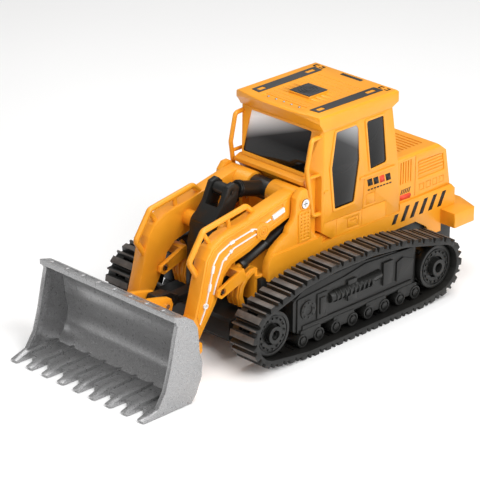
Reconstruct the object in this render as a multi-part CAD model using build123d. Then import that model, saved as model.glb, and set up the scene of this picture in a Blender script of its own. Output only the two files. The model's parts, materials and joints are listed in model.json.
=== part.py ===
from build123d import *
import math
import os

# Tracked toy loader. Millimetres; +X points to the bucket, +Y to the machine's left, +Z up, ground at z = 0.
# The outlines are laid out from the middle of the wheelbase, then moved so that the origin is
# at the centre of the footprint.
FOOTPRINT_CENTRE_X = 23.5

# tracks and wheels
FRONT_WHEEL = (75.0, 24.8)
REAR_WHEEL = (-75.0, 23.0)
SHOE_INNER_Y = 46.0
SHOE_OUTER_Y = 66.6
PITCH_RADIUS = 17.2
GROUSER_HEIGHT = 3.7
BELT_INSIDE = 1.2
SHOES = 38
WHEEL_RADIUS = 14.6
TOOTH_RADIUS = 15.4
WHEEL_FACE_Y = 62.2
AXLE_RADIUS = 1.5
RUNNING_GAP = 0.05
ROLLER_X = (46.5, 32.0, 16.6, 1.3, -13.3, -28.2, -43.1, -57.4)
ROLLER_Z = 9.9
ROLLER_RADIUS = 4.5

# body
SKIRT_HALF = 36.4
HULL_HALF = 33.5
HULL_TOP = 45.6
DECK_TOP = 60.7
CAB_FLOOR = 56.0
HOOD_HALF = 35.0
CAB_HALF = 36.0
ROOF_HALF = 36.6
ROOF_TOP = 140.7
WALL = 2.0

# loader linkage, in the XZ plane
ARM_PIVOT = (20.0, 87.0)
BUCKET_PIVOT = (113.0, 17.0)
ROCKER_PIVOT = (67.0, 75.0)
ROCKER_FOOT = (74.0, 35.0)
ROCKER_HEAD = (57.0, 97.0)
EAR_PIN = (113.0, 38.0)
LIFT_BASE = (16.0, 74.5)
LIFT_END = (89.5, 48.0)
ARM_INNER_Y = 20.5
ARM_OUTER_Y = 30.1
PIN_RADIUS = 1.6
TUBE_RADIUS = 5.2
BUCKET_HALF = 60.1
TOOTH_COUNT = 9
TOOTH_WIDTH = 5.8

SHAPES = {}


def outline(points, radius=0.0):
    """Closed outline, with rounded corners when a radius is given."""
    if radius > 0:
        return make_face(FilletPolyline(*points, radius=radius, close=True))
    return make_face(Polyline(*points, close=True))


def side_prism(points, y0, y1, radius=0.0):
    """Outline in X and Z, between two planes of Y."""
    plane = Plane(origin=(0, y0, 0), x_dir=(1, 0, 0), z_dir=(0, -1, 0))
    return extrude(plane * outline(points, radius), amount=-(y1 - y0))


def plan_prism(points, z0, z1, radius=0.0):
    """Outline in X and Y, between two heights."""
    return extrude(Plane.XY.offset(z0) * outline(points, radius), amount=z1 - z0)


def box(x0, x1, y0, y1, z0, z1):
    centre = Pos((x0 + x1) / 2, (y0 + y1) / 2, (z0 + z1) / 2)
    return centre * Box(x1 - x0, y1 - y0, z1 - z0)


def rod_y(centre, radius, y0, y1):
    """Cylinder along Y."""
    x, z = centre
    return Pos(x, (y0 + y1) / 2, z) * Rot(90, 0, 0) * Cylinder(radius, y1 - y0)


def rod_z(x, y, radius, z0, z1):
    return Pos(x, y, (z0 + z1) / 2) * Cylinder(radius, z1 - z0)


def rod_between(start, end, radius, y):
    """Cylinder in the plane of a given Y, from one XZ point to another."""
    a = Vector(start[0], y, start[1])
    b = Vector(end[0], y, end[1])
    plane = Plane(origin=a, z_dir=b - a)
    return extrude(plane * Circle(radius), amount=(b - a).length)


def bent_tube(points, radius, bend):
    """Round bar along a bent line through the given points."""
    path = Polyline(*points) if len(points) == 2 else FilletPolyline(*points, radius=bend)
    return sweep(Plane(origin=path @ 0, z_dir=path % 0) * Circle(radius), path=path)


def along(start, end, distance, side=0.0):
    """Point at a distance from start towards end, moved sideways by side."""
    length = math.hypot(end[0] - start[0], end[1] - start[1])
    ux = (end[0] - start[0]) / length
    uz = (end[1] - start[1]) / length
    return (start[0] + ux * distance - uz * side, start[1] + uz * distance + ux * side)


def add(name, shape):
    SHAPES[name] = shape


def add_pair(stem, left):
    """The left piece and its mirror image on the right."""
    SHAPES[stem + "_left"] = left
    SHAPES[stem + "_right"] = mirror(left, about=Plane.XZ)


# ---------------------------------------------------------------- track belts
def hull_of_circles(circles):
    """Tight loop around circles, as a closed list of points, anticlockwise."""
    points = []
    for x, z, r in circles:
        for k in range(240):
            a = 2 * math.pi * k / 240
            points.append((x + r * math.cos(a), z + r * math.sin(a)))
    points.sort()

    def chain(sequence):
        line = []
        for p in sequence:
            while len(line) > 1:
                (ax, az), (bx, bz) = line[-2], line[-1]
                if (bx - ax) * (p[1] - az) - (bz - az) * (p[0] - ax) > 0:
                    break
                line.pop()
            line.append(p)
        return line[:-1]

    return chain(points) + chain(points[::-1])


LOWER = GROUSER_HEIGHT + 6.0
BELT_LINE = hull_of_circles([
    (FRONT_WHEEL[0], FRONT_WHEEL[1], PITCH_RADIUS),
    (REAR_WHEEL[0], REAR_WHEEL[1], PITCH_RADIUS),
    (46.0, LOWER, 6.0),
    (-58.0, LOWER, 6.0),
    (50.0, 43.8, 6.0),
    (24.0, 46.6, 6.0),
    (-10.0, 46.8, 6.0),
    (-40.0, 43.4, 6.0),
])


def stations(loop, count):
    """Evenly spaced places along a closed loop: point and unit tangent."""
    ends = loop[1:] + loop[:1]
    lengths = [math.dist(p, q) for p, q in zip(loop, ends)]
    total = sum(lengths)
    places = []
    index = 0
    passed = 0.0
    for k in range(count):
        target = total * k / count
        while passed + lengths[index] < target:
            passed += lengths[index]
            index += 1
        p, q = loop[index], ends[index]
        t = (target - passed) / lengths[index]
        tangent = ((q[0] - p[0]) / lengths[index], (q[1] - p[1]) / lengths[index])
        places.append(((p[0] + (q[0] - p[0]) * t, p[1] + (q[1] - p[1]) * t), tangent))
    return places, total / count


def belt_outline(profile_per_shoe):
    """Closed outline from a small profile (distance along, height) repeated at every shoe."""
    points = []
    places, pitch = stations(BELT_LINE, SHOES * 4)
    for shoe in range(SHOES):
        for quarter, height, shift in profile_per_shoe:
            (x, z), (tx, tz) = places[(shoe * 4 + quarter) % len(places)]
            points.append((x + tx * shift + tz * height, z + tz * shift - tx * height))
    return points


SHOE_PROFILE = (
    (0, 0.5, -1.25), (0, 1.7, -1.2), (0, GROUSER_HEIGHT, -0.8),
    (1, GROUSER_HEIGHT, 0.3), (1, 1.6, 0.6),
    (2, 1.6, 0.3), (2, GROUSER_HEIGHT, 0.6), (2, GROUSER_HEIGHT, 1.7), (3, 1.4, -0.3), (3, 0.5, 0.6),
)
INNER_PROFILE = ((0, -BELT_INSIDE, 0.0), (1, -BELT_INSIDE, 0.0), (2, -BELT_INSIDE, 0.0), (3, -BELT_INSIDE, 0.0))


def track_belt():
    belt = side_prism(belt_outline(SHOE_PROFILE), SHOE_INNER_Y, SHOE_OUTER_Y)
    belt -= side_prism(belt_outline(INNER_PROFILE), SHOE_INNER_Y - 1, SHOE_OUTER_Y + 1)
    places, pitch = stations(BELT_LINE, SHOES * 4)
    windows = []
    for shoe in range(SHOES):
        (x, z), (tx, tz) = places[(shoe * 4 + 2) % len(places)]
        turn = -math.degrees(math.atan2(tz, tx))
        windows.append(Pos(x - tx * 0.9, 55.5, z - tz * 0.9) * Rot(0, turn, 0) * Box(1.7, 9.0, 8.0))
    return belt - windows


add_pair("track", track_belt())


# ---------------------------------------------------------------- wheels and track frames
def wheel(centre, teeth, bore):
    """Dished disc with a hub ring, a running bore and a toothed or smooth inner rim."""
    x, z = centre
    body = rod_y(centre, WHEEL_RADIUS, 57.0, WHEEL_FACE_Y)
    body -= rod_y(centre, 12.6, 61.5, WHEEL_FACE_Y + 1)
    body += rod_y(centre, 11.8, 57.0, WHEEL_FACE_Y)
    body -= rod_y(centre, 7.2, 59.6, WHEEL_FACE_Y + 1)
    body += rod_y(centre, 5.8, 57.0, WHEEL_FACE_Y - 0.2)
    body += rod_y(centre, 13.4, 48.5, 57.5)
    if teeth:
        for k in range(teeth):
            a = 2 * math.pi * (k + 0.5) / teeth
            tooth = Box(2.6, 7.0, 2.4)
            tip = TOOTH_RADIUS - 1.35
            body += Pos(x + tip * math.cos(a), 53.0, z + tip * math.sin(a)) * Rot(0, 90 - math.degrees(a), 0) * tooth
    else:
        body += rod_y(centre, TOOTH_RADIUS - 0.4, 50.0, 55.0)
    for k in range(12):
        a = 2 * math.pi * k / 12
        dot = (x + 10.0 * math.cos(a), z + 10.0 * math.sin(a))
        body += rod_y(dot, 0.55, WHEEL_FACE_Y - 0.4, WHEEL_FACE_Y + 0.4)
    body -= rod_y(centre, 3.5, 59.2, WHEEL_FACE_Y + 1)
    return body - rod_y(centre, bore, 40.0, 70.0)


add_pair("sprocket", wheel(REAR_WHEEL, 11, AXLE_RADIUS))
add_pair("idler", wheel(FRONT_WHEEL, 0, AXLE_RADIUS + RUNNING_GAP))
add("front_axle", rod_y(FRONT_WHEEL, AXLE_RADIUS, -60.6, 60.6))
add_pair("drive_shaft", rod_y(REAR_WHEEL, AXLE_RADIUS, 22.0, 60.6))


def track_frame():
    """Side frame inside the belt, with moulded relief on its outer face."""
    face = 58.2
    frame = side_prism([(-58.4, 16.0), (53.0, 16.0), (53.0, 37.0), (44.0, 42.5), (20.0, 45.2), (-10.0, 45.8),
                        (-38.0, 43.5), (-54.0, 40.0), (-58.4, 36.0)], 47.0, face, 2.0)
    frame += box(-54.0, 50.0, HULL_HALF, 48.0, 15.0, 36.0)
    frame += side_prism([(-58.4, 15.0), (50.0, 15.0), (50.0, 38.0), (8.0, 41.0), (-12.0, 44.0), (-58.4, 41.4)],
                        face - 3.0, face + 1.0, 1.0)
    frame += side_prism([(36.0, 46.8), (24.0, 48.4), (-10.0, 48.8), (-22.0, 47.0), (-22.0, 42.0), (36.0, 42.0)],
                        50.0, 56.0)
    frame += rod_y((41.0, 29.0), 6.5, face, face + 2.0)
    frame -= rod_y((41.0, 29.0), 3.2, face + 1.4, face + 3.0)
    for k in range(8):
        a = 2 * math.pi * k / 8
        frame += rod_y((41.0 + 4.9 * math.cos(a), 29.0 + 4.9 * math.sin(a)), 0.5, face, face + 2.5)
    frame += box(24.0, 33.0, face, face + 1.8, 20.0, 37.0)
    frame += box(26.0, 31.0, face, face + 2.6, 23.0, 34.0)
    frame += rod_between((22.0, 31.0), (-24.0, 33.0), 3.6, face + 0.6)
    for k in range(9):
        x = 18.0 - k * 4.0
        frame += rod_between((x, 31.2), (x - 1.4, 31.3), 4.3, face + 0.6)
    frame += box(-2.0, 6.0, face, face + 2.6, 24.0, 38.0)
    frame += box(-36.0, -27.0, face, face + 2.4, 24.0, 39.5)
    frame += side_prism([(-40.0, 22.0), (-56.0, 22.0), (-56.0, 34.0), (-46.0, 38.0), (-40.0, 36.0)],
                        face, face + 2.0, 1.2)
    frame += box(-55.0, 46.0, face, face + 1.8, 16.4, 19.4)
    return frame


def roller_pair(rear, front):
    """Two lower rollers and the hanger plate that links them."""
    middle = (rear + front) / 2
    piece = side_prism([(rear - 2.5, 9.0), (front + 2.5, 9.0), (front + 1.5, 16.6), (middle + 3, 16.8),
                        (middle - 3, 16.8), (rear - 1.5, 16.6)], 52.0, 60.4)
    for x in (rear, front):
        piece += rod_y((x, ROLLER_Z), ROLLER_RADIUS, 50.0, 61.0)
        piece -= rod_y((x, ROLLER_Z), 3.4, 60.2, 62.0)
        piece += rod_y((x, ROLLER_Z), 2.4, 59.0, 61.3)
    return piece


frame_with_rollers = track_frame()
for k in range(0, len(ROLLER_X), 2):
    frame_with_rollers += roller_pair(ROLLER_X[k + 1], ROLLER_X[k])
add_pair("track_frame", frame_with_rollers)

# ---------------------------------------------------------------- lower body
hull = side_prism([(-122.0, 19.6), (-112.0, 10.0), (80.0, 10.0), (84.0, 14.0), (84.0, 25.0), (82.0, 26.9),
                   (56.0, 26.9), (56.0, HULL_TOP), (-122.0, HULL_TOP)], -HULL_HALF, HULL_HALF, 1.0)
hull -= side_prism([(-118.0, 20.5), (-110.5, 9.0), (72.0, 9.0), (72.0, 20.0), (54.0, 24.9), (54.0, 43.4),
                    (-118.0, 43.4)], -(HULL_HALF - WALL), HULL_HALF - WALL)
hull -= rod_y(FRONT_WHEEL, AXLE_RADIUS, -50.0, 50.0)
for side in (1, -1):
    ends = sorted((side * 28.0, side * 45.0))
    hull -= rod_y(REAR_WHEEL, AXLE_RADIUS + RUNNING_GAP, ends[0], ends[1])
add("lower_hull", hull)

plate = box(-109.0, 71.5, -31.3, 31.3, 8.5, 10.9)
plate -= box(-55.0, 5.0, -21.0, 21.0, 8.0, 12.0)
plate -= box(27.4, 36.6, -2.4, 2.4, 8.0, 12.0)
add("bottom_plate", plate)
cover = box(-54.8, 4.8, -20.8, 20.8, 8.5, 10.0)
for k in range(7):
    cover += box(-40.0 + k * 4.0, -38.6 + k * 4.0, -8.0, 8.0, 8.0, 8.6)
add("battery_cover", cover)
cells = [Pos(-25.0, -15.0 + k * 10.0, 18.2) * Rot(0, 90, 0) * Cylinder(4.8, 48.0) for k in range(4)]
pack = box(-49.6, -0.4, -20.0, 20.0, 12.0, 14.2)
for cell in cells:
    pack += cell
add("battery_pack", pack)
add("power_switch", box(28.0, 33.0, -2.0, 2.0, 7.6, 11.4) + box(26.4, 34.6, -3.4, 3.4, 11.2, 12.6))
board = box(-50.0, 30.0, -28.0, 28.0, 38.0, 39.6)
for x, y, w, h in ((-30, -12, 12, 4), (-8, 10, 9, 2), (12, -8, 8, 5), (20, 16, 6, 3), (-40, 18, 7, 3)):
    board += box(x, x + w, y, y + w * 0.8, 39.4, 39.6 + h * 0.6)
add("circuit_board", board)


def drive_unit():
    """Geared motor that turns one rear sprocket."""
    unit = box(-86.0, -62.0, 20.0, 31.3, 12.0, 36.0)
    unit += rod_y((-75.0, 26.0), 8.0, 2.0, 21.0)
    return unit - rod_y(REAR_WHEEL, AXLE_RADIUS + RUNNING_GAP, 21.5, 40.0)


add_pair("drive_motor", drive_unit())
lift_unit = box(8.0, 30.0, -12.0, 12.0, 13.0, 33.0)
lift_unit += Pos(40.5, 0, 22.0) * Rot(0, 90, 0) * Cylinder(6.5, 23.0)
add("lift_motor", lift_unit)
add("speaker", rod_z(-97.6, 0, 10.5, 14.8, 19.0) + rod_z(-97.6, 0, 7.0, 18.5, 23.0))
screws = []
for x, y in ((-104.0, -27.0), (-104.0, 27.0), (-2.0, 27.0), (-2.0, -27.0), (64.0, -27.0), (64.0, 27.0)):
    screws.append(rod_z(x, y, 2.4, 7.6, 8.5))
add("base_screws", Compound(children=screws))

# ---------------------------------------------------------------- upper body
body = side_prism([(-122.0, 45.7), (-121.9, 57.0), (-118.2, DECK_TOP), (49.0, DECK_TOP), (51.4, 57.6), (52.6, 54.3),
                   (52.4, 44.0), (-84.0, 44.0), (-95.0, 37.0), (-98.0, 30.0), (-109.0, 30.0), (-109.0, 45.7)],
                  -SKIRT_HALF, SKIRT_HALF)
body -= box(-120.0, 50.4, -34.0, 34.0, 29.0, 50.0)
body -= box(-123.0, 60.0, -34.0, 34.0, 29.0, HULL_TOP + 0.1)
body -= box(-120.0, 50.4, -31.4, 31.4, 49.0, DECK_TOP - WALL)
body -= box(14.0, 70.0, -31.0, 31.0, 45.0, 70.0)
for side in (1, -1):
    low, high = sorted((side * (CAB_HALF - 2.6), side * 40.0))
    body -= box(-68.2, 4.7, low, high, CAB_FLOOR - 0.1, 65.0)
body += box(12.0, 58.0, -31.0, 31.0, 46.0, 48.0)
body += box(12.0, 50.4, -34.5, 34.5, 46.0, 48.0)
cowl = side_prism([(4.7, 59.0), (14.0, 59.0), (14.0, 92.0), (17.0, 96.2), (17.0, 98.6), (12.6, 100.4), (4.7, 100.4)],
                  -30.0, 30.0, 0.6)
cowl -= [box(11.4, 20.0, 21.6, 28.6, 68.0, 81.0), box(11.4, 20.0, -28.6, -21.6, 68.0, 81.0)]
cowl -= rod_y(ARM_PIVOT, 9.8, -31.0, 31.0)
body += cowl
CHEEK = [(8.0, 58.0), (8.4, 61.0), (14.2, 66.9), (14.8, 80.0), (17.4, 95.0), (19.0, 96.6), (23.6, 96.4), (27.4, 92.0), (28.0, 81.5),
         (29.3, 77.6), (33.3, 74.4), (34.9, 70.6), (41.7, 67.0), (47.4, 63.1), (51.0, 58.1), (52.6, 54.3), (52.4, 46.0),
         (8.0, 46.0)]
bracket = side_prism(CHEEK, 31.0, CAB_HALF - 0.6)
bracket += side_prism([(15.2, 62.2), (25.8, 62.2), (25.8, 81.0), (24.2, 82.6), (15.8, 82.6)], 34.0, CAB_HALF + 0.4)
for row in range(8):
    for column in range(3):
        hole = (17.6 + column * 3.0, 64.2 + row * 2.3)
        bracket -= rod_y(hole, 0.55, 35.6, 37.0)
bracket += rod_y(ARM_PIVOT, 4.4, 34.0, CAB_HALF)
bracket -= rod_y(ARM_PIVOT, 3.4, 34.8, 40.0)
body += [bracket, mirror(bracket, about=Plane.XZ)]
for side in (1, -1):
    low, high = sorted((side * (SKIRT_HALF - 0.7), side * 40.0))
    body -= box(8.2, 48.8, low, high, DECK_TOP - 0.5, DECK_TOP + 0.6)
lift_lug = side_prism([(6.0, 66.0), (20.0, 66.0), (21.0, 76.0), (17.0, 77.6), (6.0, 77.6)], 28.6, 31.0)
lift_lug += side_prism([(6.0, 66.0), (20.0, 66.0), (21.0, 76.0), (17.0, 77.6), (6.0, 77.6)], 19.2, 21.6)
lift_lug += box(6.0, 13.0, 20.0, 31.0, 59.5, 70.0)
body += [lift_lug, mirror(lift_lug, about=Plane.XZ)]
body -= rod_y(ARM_PIVOT, PIN_RADIUS, -40.0, 40.0)
body -= rod_y(LIFT_BASE, PIN_RADIUS, -31.1, 31.1)


def front_guard():
    """Ridged quarter-round guard beside the front opening."""
    guard = side_prism([(56.1, 53.0), (60.0, 52.4), (66.5, 49.4), (70.6, 44.0), (72.0, 38.0), (69.4, 30.0),
                        (66.6, 30.8), (68.6, 38.0), (67.4, 42.6), (64.4, 46.8), (60.0, 49.4), (58.2, 50.0),
                        (58.2, 31.0), (56.1, 31.0)], 18.0, 30.0)
    for k in range(3):
        y = 19.4 + k * 4.0
        guard += side_prism([(57.0, 53.2), (61.0, 53.0), (67.2, 50.0), (71.4, 44.4), (72.8, 38.0), (70.4, 30.4),
                             (69.0, 30.6), (71.0, 38.0), (69.8, 43.6), (66.0, 48.8), (60.4, 51.6), (57.0, 52.0)],
                            y, y + 1.6)
    return guard


guard = front_guard()
body += [guard, mirror(guard, about=Plane.XZ)]
add("upper_body", body)

counterweight = plan_prism([(-108.4, 49.0), (-127.9, 49.0), (-134.0, 31.0), (-134.0, -31.0), (-127.9, -49.0),
                            (-108.4, -49.0)], 35.6, 45.6, 0.8)
counterweight -= box(-122.1, -100.0, -HULL_HALF - 0.1, HULL_HALF + 0.1, 30.0, 50.0)
counterweight -= box(-109.1, -100.0, -SKIRT_HALF - 0.1, SKIRT_HALF + 0.1, 30.0, 50.0)
add("counterweight", counterweight)

# ---------------------------------------------------------------- cab
cab = side_prism([(-67.9, CAB_FLOOR), (-65.2, 92.0), (-58.6, 130.2), (4.8, 130.2), (13.2, 100.5), (4.6, 100.5),
                  (4.6, 62.4), (-4.4, CAB_FLOOR)], -CAB_HALF, CAB_HALF)
corner = plan_prism([(3.0, 36.6), (20.0, 36.6), (20.0, 20.4)], 50.0, 140.0)
cab -= [corner, mirror(corner, about=Plane.XZ)]
inside = side_prism([(-65.7, 50.0), (-63.0, 92.0), (-56.6, 131.0), (2.0, 131.0), (2.2, 128.0), (9.6, 102.6),
                     (2.4, 102.6), (2.4, 50.0)], -(CAB_HALF - 2.4), CAB_HALF - 2.4)
inner_corner = plan_prism([(-1.0, 36.0), (20.0, 36.0), (20.0, 16.0)], 62.0, 140.0)
inside -= [inner_corner, mirror(inner_corner, about=Plane.XZ)]
cab -= inside
cab -= box(-80.0, 10.0, -(CAB_HALF - 2.4), CAB_HALF - 2.4, 50.0, DECK_TOP + 0.1)
cab += box(-62.0, 3.5, 34.5, 36.7, 88.6, 90.2) - box(-29.5, -1.0, 30.0, 40.0, 80.0, 100.0)
cab += box(-62.0, 3.5, -36.7, -34.5, 88.6, 90.2) - box(-29.5, -1.0, -40.0, -30.0, 80.0, 100.0)

DOOR_WINDOW = [(-6.6, 127.4), (-24.6, 127.4), (-26.8, 124.8), (-28.2, 102.7), (-23.9, 75.6), (-6.3, 75.6),
               (-2.9, 104.0)]
QUARTER_WINDOW = [(-34.2, 127.2), (-49.8, 127.2), (-53.8, 94.6), (-38.8, 93.6)]


def grown(points, amount):
    """The outline moved outwards by an amount, from its own middle."""
    cx = sum(x for x, z in points) / len(points)
    cz = sum(z for x, z in points) / len(points)
    wide = max(x for x, z in points) - min(x for x, z in points)
    tall = max(z for x, z in points) - min(z for x, z in points)
    return [(cx + (x - cx) * (1 + 2 * amount / wide), cz + (z - cz) * (1 + 2 * amount / tall)) for x, z in points]


for side in (1, -1):
    for points in (DOOR_WINDOW, QUARTER_WINDOW):
        low, high = sorted((side * 33.6, side * 36.7))
        cab += side_prism(grown(points, 1.6), low, high, 1.6)
for side in (1, -1):
    for points in (DOOR_WINDOW, QUARTER_WINDOW):
        low, high = sorted((side * 30.0, side * 40.0))
        cab -= side_prism(points, low, high, 1.6)
rear_opening = Plane(origin=(-70.0, 0, 0), x_dir=(0, 1, 0), z_dir=(1, 0, 0))
cab -= extrude(rear_opening * outline([(-27.0, 98.0), (27.0, 98.0), (25.0, 124.0), (-25.0, 124.0)], 2.0), amount=16.0)
SCREEN = [(-27.4, 102.4), (27.4, 102.4), (26.6, 128.6), (-26.6, 128.6)]
front_opening = Plane(origin=(0.0, 0, 0), x_dir=(0, 1, 0), z_dir=(1, 0, 0))
cab -= extrude(front_opening * outline(SCREEN, 1.0), amount=20.0)
SEAMS = [((1.9, 68.4), (-54.8, 67.4)), ((-54.8, 67.4), (-55.1, 56.6)), ((-33.9, 91.0), (-31.7, 56.4)),
         ((-8.4, 68.0), (-8.6, 57.4)), ((-19.0, 65.0), (-29.0, 64.8)), ((-29.0, 64.8), (-29.0, 58.4)),
         ((-29.0, 58.4), (-19.0, 58.6)), ((-19.0, 58.6), (-19.0, 65.0)), ((-21.2, 63.0), (-26.8, 62.9)),
         ((-26.8, 62.9), (-26.8, 60.4)), ((-35.8, 76.8), (-44.2, 76.6)), ((-44.2, 76.6), (-44.2, 69.8)),
         ((-44.2, 69.8), (-35.8, 70.0)), ((-35.8, 70.0), (-35.8, 76.8))]
SEAM_WIDTH = 0.4
SEAM_DEPTH = 0.35


def seam(start, end):
    """Shallow groove in both cab sides, between two points in X and Z."""
    length = math.dist(start, end) + SEAM_WIDTH
    turn = -math.degrees(math.atan2(end[1] - start[1], end[0] - start[0]))
    middle = ((start[0] + end[0]) / 2, (start[1] + end[1]) / 2)
    cutter = Rot(0, turn, 0) * Box(length, 2 * SEAM_DEPTH, SEAM_WIDTH)
    return [Pos(middle[0], side * CAB_HALF, middle[1]) * cutter for side in (1, -1)]


for start, end in SEAMS:
    cab -= seam(start, end)
add("cab_shell", cab)


def screen_panel():
    """Sloping front screen, set just inside the opening."""
    slab = side_prism([(2.4, 129.2), (4.4, 129.2), (11.6, 101.6), (9.6, 101.6)], -40.0, 40.0)
    return slab & extrude(front_opening * outline(SCREEN, 1.0), amount=20.0)


add("windshield", screen_panel())
add_pair("door_window", side_prism(DOOR_WINDOW, 34.4, 36.2, 1.6))
add_pair("quarter_window", side_prism(QUARTER_WINDOW, 34.4, 36.2, 1.6))
rear_slab = side_prism([(-63.9, 97.0), (-59.4, 125.0), (-58.0, 125.0), (-62.4, 97.0)], -40.0, 40.0)
add("rear_window", rear_slab & extrude(
    rear_opening * outline([(-26.9, 98.1), (26.9, 98.1), (24.9, 123.9), (-24.9, 123.9)], 2.0), amount=16.0))

roof = side_prism([(-62.9, ROOF_TOP), (9.6, ROOF_TOP), (11.2, 139.6), (6.0, 132.4), (4.9, 130.25), (-57.8, 130.25),
                   (-63.9, 133.0), (-63.9, 139.7)], -ROOF_HALF, ROOF_HALF)
roof = chamfer(roof.faces().sort_by(Axis.Z)[-1].edges().filter_by(Axis.X), 1.0)
visor_cut = plan_prism([(3.0, 40.0), (3.0, 36.7), (8.6, 36.7), (10.4, 22.0), (11.3, 8.0), (11.5, 0.0), (11.3, -8.0),
                        (10.4, -22.0), (8.6, -36.7), (3.0, -36.7), (3.0, -40.0), (14.0, -40.0), (14.0, 40.0)],
                       125.0, 145.0)
roof -= visor_cut
for k in range(11):
    x = -48.0 + k * 4.6
    roof -= box(x, x + 0.6, -19.0, 19.0, ROOF_TOP - 0.4, ROOF_TOP + 1)
roof += box(-28.3, -10.3, -9.0, 9.0, ROOF_TOP - 1.0, ROOF_TOP + 1.6)
roof -= box(0.5, 5.5, -18.0, 18.0, ROOF_TOP - 0.5, ROOF_TOP + 1)
add("roof_panel", roof)
vent = box(-27.8, -10.8, -8.5, 8.5, ROOF_TOP + 1.6, ROOF_TOP + 2.1)
for r in (6.6, 4.6, 2.6):
    vent += rod_z(-19.3, 0, r, ROOF_TOP + 1.9, ROOF_TOP + 2.5) - rod_z(-19.3, 0, r - 0.9, ROOF_TOP, ROOF_TOP + 4)
add("roof_vent", vent)
strip = plan_prism([(3.0, 22.0), (2.0, 29.4), (-56.0, 30.2), (-55.4, 22.4)], ROOF_TOP, ROOF_TOP + 0.35)
strip -= [box(-6.0, 0.0, 24.0, 27.6, 140.0, 142.0), box(-52.0, -44.0, 24.6, 28.0, 140.0, 142.0)]
add_pair("roof_strip", strip)

rail = bent_tube([(4.6, 33.5, 126.8), (12.4, 33.5, 126.4), (16.6, 33.5, 108.0), (13.4, 33.5, 88.0),
                  (11.0, 33.5, 75.2), (4.65, 33.5, 75.0)], 1.5, 2.6)
rail += bent_tube([(5.4, 33.5, 101.6), (15.4, 33.5, 101.6)], 1.2, 0)
rail -= cab
add_pair("handrail", rail)

# ---------------------------------------------------------------- engine hood
hood = side_prism([(-68.0, DECK_TOP + 0.1), (-65.3, 91.9), (-106.0, 91.9), (-113.4, 86.0), (-118.0, DECK_TOP + 0.1)],
                  -HOOD_HALF, HOOD_HALF)
hood = fillet(hood.edges().filter_by(lambda e: abs(e.center().Z - 91.9) < 0.01 and abs(e.center().Y) > 34), 2.4)
hood -= side_prism([(-70.2, 60.0), (-67.6, 89.4), (-104.5, 89.4), (-111.0, 84.5), (-115.4, 60.0)],
                   -(HOOD_HALF - 2.6), HOOD_HALF - 2.6)
for side in (1, -1):
    low, high = sorted((side * (HOOD_HALF - 0.8), side * 37.0))
    for k in range(5):
        x = -69.0 - k * 2.4
        hood -= side_prism([(x, 88.6), (x - 1.1, 88.6), (x - 1.1, 73.4), (x, 73.4)], low, high)
    hood -= box(-83.9, -83.4, low, high, 61.8, 90.0)
    hood -= side_prism([(-86.0, 85.6), (-86.4, 72.4), (-112.4, 72.4), (-110.4, 84.6)], low, high, 0.8)
    for x in (-88.0, -94.4, -100.8, -107.2):
        frame_low, frame_high = sorted((side * (HOOD_HALF - 0.4), side * 37.0))
        hood -= box(x - 4.6, x, frame_low, frame_high, 64.2, 69.0) - box(x - 4.1, x - 0.5, -50.0, 50.0, 64.7, 68.5)
    low, high = sorted((side * (HOOD_HALF - 1.2), side * (HOOD_HALF - 0.2)))
    for k in range(5):
        z = 74.4 + k * 2.2
        hood += box(-111.0 if k < 3 else -109.6, -87.0, low, high, z, z + 1.1)
for k in range(9):
    x = -70.0 - k * 3.6
    hood -= box(x - 1.2, x, -26.0, 26.0, 91.3, 93.0)
add("engine_hood", hood)

# ---------------------------------------------------------------- lift arms
arm_line = [(17.0, 95.0), (27.0, 94.4), (62.7, 86.6), (85.5, 82.6), (95.8, 77.4), (100.4, 71.0), (106.4, 47.1),
            (109.7, 36.2), (118.5, 19.0), (117.0, 12.0), (108.5, 12.5), (106.5, 20.0), (99.5, 30.1), (92.7, 39.4),
            (88.2, 48.1), (85.0, 56.4), (78.1, 62.3), (62.6, 66.2), (45.1, 73.7), (29.0, 78.4), (20.0, 79.2),
            (13.4, 84.0)]
arm = side_prism(arm_line, ARM_INNER_Y, ARM_OUTER_Y, 1.2)
arm += rod_y(ARM_PIVOT, 8.3, 8.6, ARM_OUTER_Y)
arm += side_prism([(30.0, 91.6), (62.0, 85.0), (84.6, 81.0), (94.6, 76.0), (98.8, 70.4), (104.8, 46.6), (108.0, 36.0),
                   (105.0, 27.0), (94.6, 40.6), (90.2, 49.4), (86.8, 58.2), (79.0, 64.4), (63.4, 68.2), (45.8, 75.6),
                   (30.0, 80.4)], ARM_OUTER_Y - 1, ARM_OUTER_Y + 0.5, 1.0)
arm -= side_prism([(34.0, 89.4), (62.0, 83.6), (83.6, 79.4), (92.8, 74.6), (97.0, 69.4), (103.0, 46.0), (106.0, 36.0),
                   (104.4, 31.0), (96.6, 41.6), (92.2, 50.4), (88.4, 59.8), (79.8, 66.4), (64.4, 70.0), (46.6, 77.4),
                   (34.0, 81.0)], ARM_OUTER_Y, ARM_OUTER_Y + 2, 1.0)
boss_line = [(52.0 + 6.2 * math.cos(math.radians(60 * k + 20)), 76.6 + 6.2 * math.sin(math.radians(60 * k + 20)))
             for k in range(6)]
arm += side_prism(boss_line, ARM_OUTER_Y - 1, ARM_OUTER_Y + 1.2)
arm -= rod_y(ARM_PIVOT, PIN_RADIUS + RUNNING_GAP, 0.0, 40.0)
arm -= rod_y(BUCKET_PIVOT, PIN_RADIUS + RUNNING_GAP, 0.0, 40.0)
arm -= rod_y(LIFT_END, 1.2, 0.0, 40.0)
arm -= rod_y(ROCKER_PIVOT, 3.0, ARM_INNER_Y - 1, ARM_INNER_Y + 2.0)
tube = rod_y(ROCKER_PIVOT, TUBE_RADIUS, -ARM_INNER_Y, ARM_INNER_Y)
tube += rod_y(ROCKER_PIVOT, 3.0, -ARM_INNER_Y - 2.0, ARM_INNER_Y + 2.0)
add("arm_cross_tube", tube)
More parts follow.
